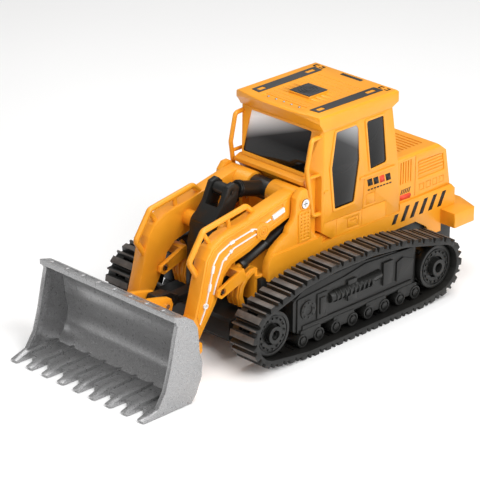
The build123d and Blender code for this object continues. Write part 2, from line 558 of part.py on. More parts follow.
guard_rail = bent_tube([(50.0, 23.6, 84.0), (60.0, 23.6, 93.4), (96.6, 23.6, 87.6), (108.6, 23.6, 70.0),
                        (100.0, 23.6, 56.0)], 1.9, 3.4)
guard_rail += bent_tube([(74.0, 23.6, 80.0), (76.0, 23.6, 91.0)], 1.5, 0)
guard_rail += bent_tube([(90.0, 23.6, 76.0), (97.0, 23.6, 86.6)], 1.5, 0)
guard_rail -= box(0.0, 200.0, ARM_INNER_Y, ARM_OUTER_Y, 0.0, 60.0) & arm
arm += guard_rail
for bore in (ARM_PIVOT, BUCKET_PIVOT):
    arm -= rod_y(bore, PIN_RADIUS + RUNNING_GAP, 0.0, 40.0)
arm -= rod_y(ROCKER_PIVOT, 3.0, ARM_INNER_Y - 1, ARM_INNER_Y + 2.0)
add_pair("lift_arm", arm)
lift_pin = rod_y(LIFT_END, 1.2, 16.6, 34.0)
add("lift_pins", Compound(children=[lift_pin, mirror(lift_pin, about=Plane.XZ)]))


def flat_line(points, width, y0, y1):
    """Raised line of a given width along a bent path in X and Z."""
    plane = Plane(origin=(0, y0, 0), x_dir=(1, 0, 0), z_dir=(0, -1, 0))
    path = FilletPolyline(*points, radius=2.4)
    strip_face = plane * trace(path, width)
    return extrude(strip_face, amount=-(y1 - y0))


hose = flat_line([(33.5, 85.6), (42.8, 83.0), (43.4, 82.85)], 3.2, ARM_OUTER_Y, ARM_OUTER_Y + 1.2)
hose_thin = flat_line([(45.0, 82.3), (50.0, 80.9), (56.6, 79.0), (60.0, 80.2), (79.6, 77.0), (90.0, 72.8), (94.2, 67.0),
                       (98.0, 52.0), (102.0, 38.0), (106.0, 30.5)], 0.75, ARM_OUTER_Y, ARM_OUTER_Y + 0.8)
hose_low = flat_line([(57.6, 76.2), (77.0, 72.6), (86.6, 66.4), (92.4, 53.0), (94.4, 47.0)], 0.75,
                     ARM_OUTER_Y, ARM_OUTER_Y + 0.8)
hose_lines = (hose + hose_thin + hose_low) - arm
add_pair("hose_trim", Compound(children=list(hose_lines.solids())))
add("arm_pivot_pin", rod_y(ARM_PIVOT, PIN_RADIUS, -34.8, 34.8))
heads = []
for side in (1, -1):
    low, high = sorted((side * 34.8, side * 36.4))
    head = rod_y(ARM_PIVOT, 3.0, low, high)
    slot_low, slot_high = sorted((side * 35.6, side * 37.0))
    head -= box(18.2, 21.8, slot_low, slot_high, 86.6, 87.4)
    head -= box(19.6, 20.4, slot_low, slot_high, 85.2, 88.8)
    heads.append(head)
add("pivot_screws", Compound(children=heads))
base_pin = rod_y(LIFT_BASE, PIN_RADIUS, 19.2, 31.0)
add("lift_base_pins", Compound(children=[base_pin, mirror(base_pin, about=Plane.XZ)]))

# ---------------------------------------------------------------- rocker, link and tilt cylinder
cheek_line = [(51.4, 99.4), (55.0, 103.0), (60.6, 101.6), (66.0, 90.0), (74.6, 79.6), (78.6, 66.0), (79.8, 38.0),
              (77.6, 30.6), (71.6, 29.4), (68.2, 34.0), (66.0, 58.0), (59.6, 69.0), (58.4, 80.0), (52.4, 92.0)]
rocker = side_prism(cheek_line, -9.0, 9.0, 1.6)
rocker -= side_prism([(40.0, 110.0), (72.0, 110.0), (66.4, 87.0), (48.0, 84.6)], -5.4, 5.4)
rocker -= side_prism([(60.0, 20.0), (90.0, 20.0), (90.0, 45.0), (60.0, 45.0)], -5.0, 5.0)
rocker -= rod_y(ROCKER_PIVOT, TUBE_RADIUS + RUNNING_GAP, -20.0, 20.0)
rocker += rod_y(ROCKER_PIVOT, 8.6, -10.2, 10.2) - rod_y(ROCKER_PIVOT, TUBE_RADIUS + RUNNING_GAP, -20.0, 20.0)
rocker += rod_y(ROCKER_FOOT, PIN_RADIUS, -9.0, 9.0)
add("rocker", rocker)

kink_low = [(69.4, 35.0), (72.0, 30.6), (100.0, 34.4), (108.0, 31.8), (117.0, 32.4), (119.4, 38.0), (116.6, 43.8),
            (106.0, 43.2), (99.0, 38.8), (75.0, 39.4)]
link = side_prism(kink_low, -4.4, 4.4, 1.0)
link += box(100.0, 104.0, -4.8, 4.8, 34.6, 40.4)
link -= rod_y(ROCKER_FOOT, PIN_RADIUS + RUNNING_GAP, -10.0, 10.0)
link -= rod_y(EAR_PIN, 4.4, -10.0, 10.0)
add("bucket_link", link)

TILT_LENGTH = math.dist(ARM_PIVOT, ROCKER_HEAD)
tilt_barrel = rod_y(ARM_PIVOT, 7.0, -7.6, 7.6)
tilt_barrel += rod_between(along(ARM_PIVOT, ROCKER_HEAD, 4.0), along(ARM_PIVOT, ROCKER_HEAD, 26.0), 5.0, 0.0)
tilt_barrel += rod_between(along(ARM_PIVOT, ROCKER_HEAD, 22.5), along(ARM_PIVOT, ROCKER_HEAD, 25.0), 5.6, 0.0)
tilt_barrel -= rod_between(along(ARM_PIVOT, ROCKER_HEAD, 9.0), along(ARM_PIVOT, ROCKER_HEAD, 30.0), 3.3, 0.0)
tilt_barrel -= rod_y(ARM_PIVOT, PIN_RADIUS + RUNNING_GAP, -20.0, 20.0)
add("tilt_barrel", tilt_barrel)
tilt_rod = rod_between(along(ARM_PIVOT, ROCKER_HEAD, 17.5), along(ARM_PIVOT, ROCKER_HEAD, TILT_LENGTH - 2.0), 3.2, 0.0)
tilt_rod += rod_y(ROCKER_HEAD, 4.2, -4.6, 4.6)
tilt_rod -= rod_y(ROCKER_HEAD, 2.8, -10.0, 10.0)
add("tilt_rod", tilt_rod)
add("rocker_pin", rod_y(ROCKER_HEAD, 1.4, -9.6, 9.6))
rocker_bore = rod_y(ROCKER_HEAD, 1.4, -12.0, 12.0)
SHAPES["rocker"] = SHAPES["rocker"] - rocker_bore

# ---------------------------------------------------------------- lift cylinders
LIFT_Y = 25.3
lift_barrel = rod_y(LIFT_BASE, 3.6, 21.9, 28.3)
lift_barrel += rod_between(along(LIFT_BASE, LIFT_END, 1.0), along(LIFT_BASE, LIFT_END, 54.0), 3.1, LIFT_Y)
lift_barrel += rod_between(along(LIFT_BASE, LIFT_END, 50.0), along(LIFT_BASE, LIFT_END, 54.0), 3.9, LIFT_Y)
lift_barrel += rod_between(along(LIFT_BASE, LIFT_END, 30.0), along(LIFT_BASE, LIFT_END, 32.0), 3.5, LIFT_Y)
lift_barrel -= rod_between(along(LIFT_BASE, LIFT_END, 20.0), along(LIFT_BASE, LIFT_END, 60.0), 2.1, LIFT_Y)
lift_barrel -= rod_y(LIFT_BASE, PIN_RADIUS + RUNNING_GAP, 10.0, 40.0)
add_pair("lift_barrel", lift_barrel)

lift_rod = rod_between(along(LIFT_BASE, LIFT_END, 26.0), along(LIFT_BASE, LIFT_END, 60.0), 2.0, LIFT_Y)
fork_line = [along(LIFT_BASE, LIFT_END, 58.0, -4.0), along(LIFT_BASE, LIFT_END, 58.0, 4.0),
             along(LIFT_BASE, LIFT_END, 81.0, 3.2), along(LIFT_BASE, LIFT_END, 83.2, 0.0),
             along(LIFT_BASE, LIFT_END, 81.0, -3.2)]
for y0, y1 in ((16.8, 19.9), (31.9, 34.2)):
    lift_rod += side_prism(fork_line, y0, y1, 1.2)
fork_back = [along(LIFT_BASE, LIFT_END, 58.0, -4.0), along(LIFT_BASE, LIFT_END, 58.0, 4.0),
             along(LIFT_BASE, LIFT_END, 62.0, 4.0), along(LIFT_BASE, LIFT_END, 62.0, -4.0)]
lift_rod += side_prism(fork_back, 16.8, 34.2)
lift_rod -= rod_y(LIFT_END, 2.6, 10.0, 40.0)
add_pair("lift_rod", lift_rod)

# ---------------------------------------------------------------- bucket
shell_line = [(155.4, 61.2), (146.4, 58.8), (140.0, 54.6), (136.4, 48.6), (135.4, 40.0), (135.0, 33.0), (132.6, 24.0),
              (133.2, 15.4), (137.6, 5.4), (141.6, 0.4), (169.0, 0.4), (169.0, 2.6), (145.0, 3.0), (139.8, 8.0),
              (135.9, 16.4), (135.2, 23.4), (137.4, 32.6), (137.8, 40.0), (138.6, 47.4), (142.0, 52.8),
              (147.4, 56.4), (153.8, 58.0), (155.4, 57.8)]
bucket = side_prism(shell_line, -BUCKET_HALF, BUCKET_HALF)
panel_line = [(155.4, 61.2), (146.4, 58.8), (140.0, 54.6), (136.4, 48.6), (135.4, 40.0), (135.0, 33.0), (132.6, 24.0),
              (133.2, 15.4), (137.6, 5.4), (141.6, 0.4), (169.0, 0.4), (178.0, 0.6), (178.0, 2.4), (169.4, 5.2),
              (162.8, 15.0), (158.6, 29.0), (154.4, 48.0), (152.8, 54.6)]
panel = side_prism(panel_line, BUCKET_HALF - 2.2, BUCKET_HALF)
bucket += [panel, mirror(panel, about=Plane.XZ)]
RIM_LINE = [(155.0, 60.6), (152.8, 54.6), (154.4, 48.0), (158.6, 29.0), (162.8, 15.0), (169.4, 5.2), (162.6, 5.2),
            (156.8, 15.0), (152.8, 29.0), (148.8, 48.0), (147.4, 57.6)]
rim = side_prism(RIM_LINE, BUCKET_HALF - 3.1, BUCKET_HALF - 2.0)
bucket += [rim, mirror(rim, about=Plane.XZ)]
tooth_pitch = (2 * BUCKET_HALF - TOOTH_WIDTH) / (TOOTH_COUNT - 1)
for k in range(TOOTH_COUNT):
    centre = -BUCKET_HALF + TOOTH_WIDTH / 2 + tooth_pitch * k
    half = TOOTH_WIDTH / 2
    tooth = plan_prism([(144.0, centre - 1.0), (158.0, centre - half), (181.0, centre - half + 0.2),
                        (181.0, centre + half - 0.2), (158.0, centre + half), (144.0, centre + 1.0)], 0.0, 8.0)
    wedge = side_prism([(144.0, 0.6), (168.0, 0.0), (179.0, 0.1), (181.0, 0.7), (181.0, 1.7), (170.6, 4.8),
                        (156.0, 4.9), (144.0, 4.0)], centre - half, centre + half)
    bucket += tooth & wedge
for k in range(TOOTH_COUNT - 1):
    centre = -BUCKET_HALF + TOOTH_WIDTH / 2 + tooth_pitch * (k + 0.5)
    bucket += plan_prism([(168.6, centre - 2.0), (172.4, centre), (168.6, centre + 2.0)], 0.5, 2.0)
RECESSES = 8
recess_pitch = 14.2
for k in range(RECESSES):
    centre = (k - (RECESSES - 1) / 2) * recess_pitch
    bucket -= plan_prism([(148.4, centre - 4.6), (152.6, centre - 4.6), (153.8, centre - 2.6), (153.8, centre + 2.6),
                          (152.6, centre + 4.6), (148.4, centre + 4.6)], 59.0, 64.0)
add("bucket", bucket)

ear_line = [(137.0, 46.0), (136.4, 30.0), (118.0, 31.0), (109.4, 33.8), (108.2, 38.0), (109.8, 42.4), (114.0, 43.6),
            (126.0, 46.4)]
pieces = side_prism([(131.2, 12.0), (134.2, 12.0), (136.6, 46.0), (133.2, 47.0)], -36.0, 36.0)
for y in (5.2, -9.2):
    pieces += side_prism(ear_line, y, y + 4.0, 1.0)
lug_line = [(135.0, 30.0), (133.0, 10.0), (113.0, 11.0), (107.6, 14.0), (107.6, 20.0), (113.0, 22.8), (122.0, 25.0)]
for y in (16.9, 30.9, -20.2, -34.2):
    pieces += side_prism(lug_line, y, y + 3.3, 1.2)
pieces -= bucket
pieces = max(pieces.solids(), key=lambda s: s.volume)
pieces -= rod_y(EAR_PIN, 1.5, -12.0, 12.0)
pieces -= rod_y(BUCKET_PIVOT, PIN_RADIUS, -40.0, 40.0)
add("bucket_bracket", pieces)
add("ear_pin", rod_y(EAR_PIN, 1.5, -10.0, 10.0))
pins = [rod_y(BUCKET_PIVOT, PIN_RADIUS, 16.9, 34.2), rod_y(BUCKET_PIVOT, PIN_RADIUS, -34.2, -16.9)]
add("bucket_pins", Compound(children=pins))

# ---------------------------------------------------------------- export
os.makedirs("parts", exist_ok=True)
for node, shape in SHAPES.items():
    moved = [Pos(-FOOTPRINT_CENTRE_X, 0, 0) * solid for solid in shape.solids()]
    piece = moved[0] if len(moved) == 1 else Compound(children=moved)
    piece.label = node
    export_step(piece, "parts/" + node + ".step")
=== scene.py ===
import json
import math

import bmesh
import bpy
from mathutils import Matrix, Vector


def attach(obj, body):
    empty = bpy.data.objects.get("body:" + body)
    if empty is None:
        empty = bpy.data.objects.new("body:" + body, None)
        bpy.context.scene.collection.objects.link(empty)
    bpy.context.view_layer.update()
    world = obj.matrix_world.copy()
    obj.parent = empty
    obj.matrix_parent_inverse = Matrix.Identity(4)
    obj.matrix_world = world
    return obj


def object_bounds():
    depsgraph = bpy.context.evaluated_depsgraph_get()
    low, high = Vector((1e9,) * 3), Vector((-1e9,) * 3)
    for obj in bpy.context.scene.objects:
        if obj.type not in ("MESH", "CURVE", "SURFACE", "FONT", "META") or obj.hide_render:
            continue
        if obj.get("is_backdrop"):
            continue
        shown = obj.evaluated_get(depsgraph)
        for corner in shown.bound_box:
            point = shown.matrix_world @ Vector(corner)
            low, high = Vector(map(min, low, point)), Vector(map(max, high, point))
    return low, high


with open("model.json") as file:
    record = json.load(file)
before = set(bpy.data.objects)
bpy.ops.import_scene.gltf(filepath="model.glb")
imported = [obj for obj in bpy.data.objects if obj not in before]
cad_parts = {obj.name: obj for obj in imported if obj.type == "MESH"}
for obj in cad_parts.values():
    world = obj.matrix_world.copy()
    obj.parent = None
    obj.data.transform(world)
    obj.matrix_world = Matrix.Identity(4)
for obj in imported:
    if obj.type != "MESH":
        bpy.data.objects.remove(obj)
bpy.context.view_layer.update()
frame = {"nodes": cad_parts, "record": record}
nodes = frame["nodes"]
MM = 0.001
OFFSET_X = -23.5  # mm from the middle of the wheelbase to the frame's origin, along X
SIDES = ((1, "left"), (-1, "right"))


# ---------------------------------------------------------------- materials
class Shader:
    """Small helper that builds a node material around one Principled shader."""

    def __init__(self, name, **constants):
        self.material = bpy.data.materials.new(name)
        self.material.use_nodes = True
        self.tree = self.material.node_tree
        self.surface = self.tree.nodes["Principled BSDF"]
        for socket, value in constants.items():
            self.surface.inputs[socket.replace("_", " ")].default_value = value
        self.place = self.node("ShaderNodeTexCoord").outputs["Object"]

    def node(self, kind, **settings):
        made = self.tree.nodes.new(kind)
        for key, value in settings.items():
            setattr(made, key, value)
        return made

    def link(self, source, target):
        self.tree.links.new(source, target)

    def noise(self, scale, detail=3.0, rough=0.5):
        made = self.node("ShaderNodeTexNoise")
        made.inputs["Scale"].default_value = scale
        made.inputs["Detail"].default_value = detail
        made.inputs["Roughness"].default_value = rough
        self.link(self.place, made.inputs["Vector"])
        return made.outputs["Fac"]

    def ramp(self, factor, stops):
        made = self.node("ShaderNodeValToRGB")
        points = made.color_ramp.elements
        while len(points) < len(stops):
            points.new(0.5)
        for point, (position, colour) in zip(points, stops):
            point.position = position
            point.color = (*colour, 1.0)
        self.link(factor, made.inputs["Fac"])
        return made.outputs["Color"]

    def span(self, factor, low, high):
        made = self.node("ShaderNodeMapRange")
        made.inputs["To Min"].default_value = low
        made.inputs["To Max"].default_value = high
        self.link(factor, made.inputs["Value"])
        return made.outputs["Result"]

    def bump(self, factor, strength, distance):
        made = self.node("ShaderNodeBump")
        made.inputs["Strength"].default_value = strength
        made.inputs["Distance"].default_value = distance
        self.link(factor, made.inputs["Height"])
        self.link(made.outputs["Normal"], self.surface.inputs["Normal"])

    def colour(self, source):
        self.link(source, self.surface.inputs["Base Color"])

    def roughness(self, source):
        self.link(source, self.surface.inputs["Roughness"])


def moulded(name, dark, light, rough_low, rough_high, grain=900.0, relief=0.12, **constants):
    """Injection-moulded plastic: faint mottling, fine grain and uneven sheen."""
    s = Shader(name, **constants)
    s.colour(s.ramp(s.noise(26.0, 4.0), [(0.32, dark), (0.68, light)]))
    s.roughness(s.span(s.noise(70.0, 3.0), rough_low, rough_high))
    s.bump(s.noise(grain, 2.0), relief, 0.0002)
    return s.material


def shoe_top_painted_light_material():
    """Painted light: a brownish colour on the outer faces of the track shoes, lighter than the black
    plastic, standing in for light falling on them.
    """
    s = Shader("track_painted_light_m", Specular_IOR_Level=0.45)
    painted_light_browns = [(0.25, (0.030, 0.026, 0.024)), (0.5, (0.070, 0.060, 0.053)), (0.75, (0.125, 0.108, 0.097))]
    s.colour(s.ramp(s.noise(110.0, 6.0, 0.65), painted_light_browns))
    s.roughness(s.span(s.noise(200.0, 3.0), 0.34, 0.55))
    s.bump(s.noise(1500.0, 3.0), 0.3, 0.0002)
    return s.material


def bucket_material():
    """Metallic grey with fine flakes."""
    s = Shader("bucket_metallic_m", Metallic=0.6, Specular_IOR_Level=0.5)
    greys = [(0.28, (0.21, 0.21, 0.212)), (0.5, (0.32, 0.32, 0.323)), (0.74, (0.52, 0.52, 0.524))]
    s.colour(s.ramp(s.noise(1500.0, 2.0, 0.8), greys))
    s.roughness(s.span(s.noise(400.0, 4.0), 0.24, 0.33))
    s.bump(s.noise(2200.0, 3.0), 0.12, 0.0001)
    return s.material


def painted_reflection_glazing(name, low, high, reflection_colour, tilt):
    """Glossy black panel whose colour grows paler towards the top: a painted reflection; tilt leans the
    fade along a second axis.
    """
    s = Shader(name, Coat_Weight=0.08, Coat_Roughness=0.03, Specular_IOR_Level=0.22)
    split = s.node("ShaderNodeSeparateXYZ")
    s.link(s.place, split.inputs["Vector"])
    axis, slope = tilt
    lean = s.node("ShaderNodeMath", operation="MULTIPLY_ADD")
    lean.inputs[1].default_value = slope
    s.link(split.outputs[axis], lean.inputs[0])
    s.link(split.outputs["Z"], lean.inputs[2])
    fade = s.span(lean.outputs[0], 0.0, 1.0)
    fade.node.inputs["From Min"].default_value = low
    fade.node.inputs["From Max"].default_value = high
    soft = s.node("ShaderNodeMath", operation="POWER")
    soft.inputs[1].default_value = 1.7
    s.link(fade, soft.inputs[0])
    # painted reflection: near black low on the pane, rising to the pale colour higher up
    reflection_stops = [(0.0, (0.002, 0.002, 0.002)), (0.45, (0.03, 0.03, 0.031)), (1.0, reflection_colour)]
    s.colour(s.ramp(soft.outputs[0], reflection_stops))
    s.roughness(s.span(s.noise(40.0, 2.0), 0.05, 0.09))
    return s.material


yellow = moulded("yellow_plastic_m", (0.76, 0.290, 0.013), (0.82, 0.330, 0.018), 0.30, 0.42, relief=0.06,
                 Specular_IOR_Level=0.42, Coat_Weight=0.08, Coat_Roughness=0.2)
black = moulded("black_plastic_m", (0.0055, 0.0055, 0.005), (0.011, 0.011, 0.010), 0.30, 0.46,
                Specular_IOR_Level=0.38)
dark_trim = moulded("grey_trim_m", (0.035, 0.035, 0.036), (0.055, 0.055, 0.056), 0.45, 0.6,
                    Specular_IOR_Level=0.3)
white_trim = moulded("white_trim_m", (0.74, 0.74, 0.73), (0.86, 0.86, 0.85), 0.22, 0.34, Coat_Weight=0.2)
steel = moulded("steel_m", (0.42, 0.42, 0.42), (0.62, 0.62, 0.62), 0.22, 0.36, Metallic=1.0)
chrome = moulded("screw_steel_m", (0.66, 0.66, 0.66), (0.86, 0.86, 0.86), 0.12, 0.22, Metallic=1.0)
green_board = moulded("board_m", (0.01, 0.09, 0.03), (0.02, 0.14, 0.05), 0.3, 0.5)
wrap = moulded("battery_wrap_m", (0.02, 0.12, 0.03), (0.03, 0.17, 0.05), 0.3, 0.5)
ink = moulded("ink_m", (0.010, 0.009, 0.008), (0.020, 0.018, 0.016), 0.4, 0.55, Specular_IOR_Level=0.3)
red_ink = moulded("red_ink_m", (0.72, 0.05, 0.02), (0.82, 0.08, 0.03), 0.4, 0.5, Specular_IOR_Level=0.3)
tracks = moulded("track_plastic_m", (0.005, 0.005, 0.0048), (0.012, 0.0115, 0.010), 0.36, 0.52, relief=0.2,
                 Specular_IOR_Level=0.35)
shoe_top_painted_light = shoe_top_painted_light_material()
bucket_paint = bucket_material()
# painted reflections on the windows: each set gets its own pale colour, fade band and lean
screen_glass = painted_reflection_glazing("screen_painted_reflection_m", 0.097, 0.133, (0.95, 0.95, 0.955), ("Y", -0.35))
door_glass = painted_reflection_glazing("door_painted_reflection_m", 0.098, 0.166, (0.62, 0.62, 0.625), ("X", -0.6))
quarter_glass = painted_reflection_glazing("quarter_painted_reflection_m", 0.100, 0.190, (0.42, 0.42, 0.43), ("X", -0.2))

BY_SLOT = {"yellow_plastic": yellow, "black_plastic": black, "track_plastic": tracks,
           "bucket_plastic": bucket_paint, "dark_glazing": screen_glass, "grey_trim": dark_trim,
           "white_trim": white_trim, "steel": steel, "screw_steel": chrome, "battery_wrap": wrap,
           "board": green_board, "motor_case": steel, "speaker_cone": black}
SPECIAL = {"door_window_left": door_glass, "door_window_right": door_glass,
           "quarter_window_left": quarter_glass, "quarter_window_right": quarter_glass,
           "rear_window": quarter_glass, "rocker_pin": black, "tilt_rod": black}
SOFT_EDGE = {"yellow_plastic": 0.45, "black_plastic": 0.3, "track_plastic": 0.16, "bucket_plastic": 0.4,
             "dark_glazing": 0.2, "white_trim": 0.25, "grey_trim": 0.08}  # mm
WELD_GAP = 0.000004  # metres between corners that count as one
SHARP_ANGLE = math.radians(35)  # edges sharper than this are rounded


# ---------------------------------------------------------------- building pieces
def dress(obj, material, edge=0.0):
    """One material, and edges rounded by so many mm."""
    obj.data.materials.clear()
    obj.data.materials.append(material)
    for face in obj.data.polygons:
        face.use_smooth = True
    if edge:
        weld = obj.modifiers.new("weld", "WELD")
        weld.merge_threshold = WELD_GAP
        bevel = obj.modifiers.new("bevel", "BEVEL")
        bevel.width = edge * MM
        bevel.segments = 2
        bevel.limit_method = "ANGLE"
        bevel.angle_limit = SHARP_ANGLE
        bevel.harden_normals = True
        bevel.use_clamp_overlap = True


def piece(name, solid, material, body="chassis", edge=0.0):
    """A mesh object from a bmesh laid out in millimetres around the wheelbase centre."""
    mesh = bpy.data.meshes.new(name)
    bmesh.ops.recalc_face_normals(solid, faces=solid.faces)
    solid.to_mesh(mesh)
    solid.free()
    mesh.transform(Matrix.Scale(MM, 4) @ Matrix.Translation((OFFSET_X, 0, 0)))
    obj = bpy.data.objects.new(name, mesh)
    bpy.context.scene.collection.objects.link(obj)
    dress(obj, material, edge)
    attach(obj, body)


def slab(solid, outline, thickness):
    """Adds a closed prism: outline is a list of 3-D points in a plane, thickness a vector."""
    push = Vector(thickness)
    low = [solid.verts.new(Vector(p)) for p in outline]
    high = [solid.verts.new(Vector(p) + push) for p in outline]
    solid.faces.new(low)
    solid.faces.new(high[::-1])
    count = len(outline)
    for i in range(count):
        j = (i + 1) % count
        solid.faces.new((low[i], low[j], high[j], high[i]))


def plate(solid, x0, x1, y0, y1, z, height):
    """Adds a level rectangular block standing on z."""
    slab(solid, [(x0, y0, z), (x1, y0, z), (x1, y1, z), (x0, y1, z)], (0, 0, height))


def disc(solid, centre, radius, normal, length, sides=20, hole=0.0):
    """Adds a closed disc or ring, its axis along X, Y or Z."""
    axis = Vector(normal)
    across = Vector((0, 0, 1)) if abs(axis.z) < 0.5 else Vector((1, 0, 0))
    other = axis.cross(across)
    rings = []
    for r, push in ((radius, 0.0), (radius, length), (hole, length), (hole, 0.0)):
        if r == 0.0:
            continue
        ring = []
        for k in range(sides):
            a = 2 * math.pi * k / sides
            spot = Vector(centre) + across * (r * math.cos(a)) + other * (r * math.sin(a)) + axis * push
            ring.append(solid.verts.new(spot))
        rings.append(ring)
    for first, second in zip(rings, rings[1:] + rings[:1] if hole else rings[1:]):
        for k in range(sides):
            n = (k + 1) % sides
            solid.faces.new((first[k], first[n], second[n], second[k]))
    if not hole:
        solid.faces.new(rings[0])
        solid.faces.new(rings[1][::-1])


def on_side(points, y):
    """Points (x, z) placed in the upright plane at y."""
    return [(x, y, z) for x, z in points]


def both_sides(name, outlines, y, material):
    """Thin print on the chassis's left side, and its mirror on the right."""
    for side, word in SIDES:
        solid = bmesh.new()
        for outline in outlines:
            slab(solid, on_side(outline, side * y), (0, side * PRINT, 0))
        piece(f"{name}_{word}", solid, material)


def bar(x, z, lean, width, height):
    """A slanted bar, from its lower front corner."""
    return [(x, z), (x - lean, z + height), (x - lean - width, z + height), (x - width, z)]


def line(start, end, width):
    """A straight strip between two points (x, z)."""
    (x0, z0), (x1, z1) = start, end
    length = math.hypot(x1 - x0, z1 - z0)
    nx, nz = -(z1 - z0) / length * width / 2, (x1 - x0) / length * width / 2
    return [(x0 + nx, z0 + nz), (x1 + nx, z1 + nz), (x1 - nx, z1 - nz), (x0 - nx, z0 - nz)]


for entry in frame["record"]["subparts"]:
    name, slot = entry["node"], entry["material_slot"]
    dress(nodes[name], SPECIAL.get(name, BY_SLOT[slot]), SOFT_EDGE.get(slot, 0.0))

# ---------------------------------------------------------------- prints on the sides
PRINT = 0.12  # mm, thickness of a print
SKIRT_Y, HOOD_Y, CAB_Y = 36.4, 35.0, 36.0  # mm, outer planes that carry prints
HAZARD_PITCH, SLASH_PITCH, BLOCK_PITCH, DASH_PITCH = 8.9, 1.9, 5.7, 2.9

hazard = [bar(-60.4, 48.4, 3.0, 3.6, 6.2)]
hazard += [bar(-69.1 - k * HAZARD_PITCH, 48.1, 4.9, 3.7, 9.8) for k in range(5)]
both_sides("hazard_stripes", hazard, SKIRT_Y, ink)

slashes = [bar(-69.6 - k * SLASH_PITCH, 66.4, 1.3, 0.9, 3.2) for k in range(5)]
both_sides("hood_slashes", slashes, HOOD_Y, ink)
label = [(-69.2, 62.4), (-69.2, 66.0), (-79.0, 65.6), (-80.0, 63.9), (-79.0, 62.0)]
both_sides("hood_label", [label], HOOD_Y, red_ink)

blocks = [bar(-37.6 - k * BLOCK_PITCH, 82.0 - k * 0.35, -1.2, 4.4, 4.8) for k in range(4)]
both_sides("cab_blocks", blocks[:2] + blocks[3:], CAB_Y, ink)
both_sides("cab_block_red", blocks[2:3], CAB_Y, red_ink)
dashes = [bar(-37.4 - k * DASH_PITCH, 79.0 - k * 0.1, -0.3, 2.0, 0.9) for k in range(8)]
both_sides("cab_dashes", dashes, CAB_Y, ink)

# ---------------------------------------------------------------- roof furniture
ROOF_Z = 140.7
SLOT_RIBS, RIB_PITCH, RIB_WIDTH = 11, 1.6, 0.8
BRACKET_ARM = 0.8  # width of a corner bracket's strokes
MARK_HEIGHT = 0.3
STUDS, STUD_PITCH, STUD_RADIUS = 5, 6.7, 0.75

solid = bmesh.new()
plate(solid, -60.4, -57.6, -9.0, 9.0, ROOF_Z - 0.2, 0.35)
for k in range(SLOT_RIBS):
    start = -8.6 + k * RIB_PITCH
    plate(solid, -60.2, -57.8, start, start + RIB_WIDTH, ROOF_Z + 0.1, MARK_HEIGHT)
piece("roof_rear_slot", solid, dark_trim)

solid = bmesh.new()
for side in (1, -1):
    for y0, y1 in ((24.4, 27.2), (29.8, 32.6)):
        low, high = sorted((side * y0, side * y1))
        for rear in (-60.6, -57.8):
            plate(solid, rear, rear + BRACKET_ARM, low, high, ROOF_Z - 0.1, MARK_HEIGHT)
    for y in (24.4, 31.8):
        low, high = sorted((side * y, side * (y + BRACKET_ARM)))
        plate(solid, -60.0, -57.4, low, high, ROOF_Z - 0.1, MARK_HEIGHT)
piece("roof_brackets", solid, ink)

solid = bmesh.new()
for k in range(STUDS):
    disc(solid, (3.0, -13.4 + STUD_PITCH * k, ROOF_Z - 0.6), STUD_RADIUS, (0, 0, 1), 0.7, 12)
piece("roof_studs", solid, steel)

# ---------------------------------------------------------------- arm plumbing
ARM_Y = 30.1
FITTING_HEIGHT = 1.25
FITTINGS = (((76.8, 77.5), (80.6, 76.6), 1.9), ((94.4, 66.2), (95.6, 61.4), 1.8),
            ((97.2, 55.0), (98.4, 50.4), 1.8), ((78.8, 71.8), (80.6, 70.8), 1.9),
            ((83.6, 68.4), (85.0, 67.4), 1.7), ((60.6, 80.1), (62.6, 79.8), 1.7))  # from, to, width
BOSS_X, BOSS_Z = 52.0, 76.6
BOSS_RINGS, BOSS_RING_WIDTH = (3.9, 2.2), 0.55
HOSE_EYE = (101.2, 41.4)  # x, z of the ring that ends the upper hose

for side, word in SIDES:
    outward = (0, side, 0)
    solid = bmesh.new()
    for start, end, width in FITTINGS:
        slab(solid, on_side(line(start, end, width), side * ARM_Y), (0, side * FITTING_HEIGHT, 0))
    disc(solid, (HOSE_EYE[0], side * ARM_Y, HOSE_EYE[1]), 1.9, outward, 1.2, 24, 1.15)
    piece(f"hose_fittings_{word}", solid, white_trim, "lift_arms", 0.2)

    boss = (BOSS_X, side * (ARM_Y + 1.1), BOSS_Z)
    solid = bmesh.new()
    for radius in BOSS_RINGS:
        disc(solid, boss, radius, outward, 0.35, 28, radius - BOSS_RING_WIDTH)
    disc(solid, boss, 0.8, outward, 0.5, 16)
    piece(f"boss_rings_{word}", solid, yellow, "lift_arms")

# ---------------------------------------------------------------- wheel hubs
IDLER_AXLE, SPROCKET_AXLE = (75.0, 24.8), (-75.0, 23.0)  # x, z
HUB_RING, HUB_HOLE = 5.7, 3.2
RIVETS, RIVET_CIRCLE, RIVET_RADIUS = 16, 10.2, 0.75
SCREW_RADIUS, SCREW_Y, CROSS_Y = 3.0, 59.3, 60.7


def disc_face(name, axle):
    """How far out, in mm, a wheel's flat face lies between its hub and its rim."""
    reach = 0.0
    for vertex in nodes[name].data.vertices:
        radius = math.hypot(vertex.co.x / MM - OFFSET_X - axle[0], vertex.co.z / MM - axle[1])
        if 8.0 < radius < 12.0:
            reach = max(reach, abs(vertex.co.y) / MM)
    return reach


for wheel, axle in (("idler", IDLER_AXLE), ("sprocket", SPROCKET_AXLE)):
    for side, word in SIDES:
        face = disc_face(f"{wheel}_{word}", axle)
        solid = bmesh.new()
        disc(solid, (axle[0], side * (face - 0.6), axle[1]), HUB_RING, (0, side, 0), 3.2, 32, HUB_HOLE)
        for k in range(RIVETS):
            turn = 2 * math.pi * k / RIVETS
            x, z = axle[0] + RIVET_CIRCLE * math.cos(turn), axle[1] + RIVET_CIRCLE * math.sin(turn)
            disc(solid, (x, side * (face - 0.4), z), RIVET_RADIUS, (0, side, 0), 1.0, 10)
        piece(f"{wheel}_hub_{word}", solid, black, f"{wheel}_{word}", 0.25)

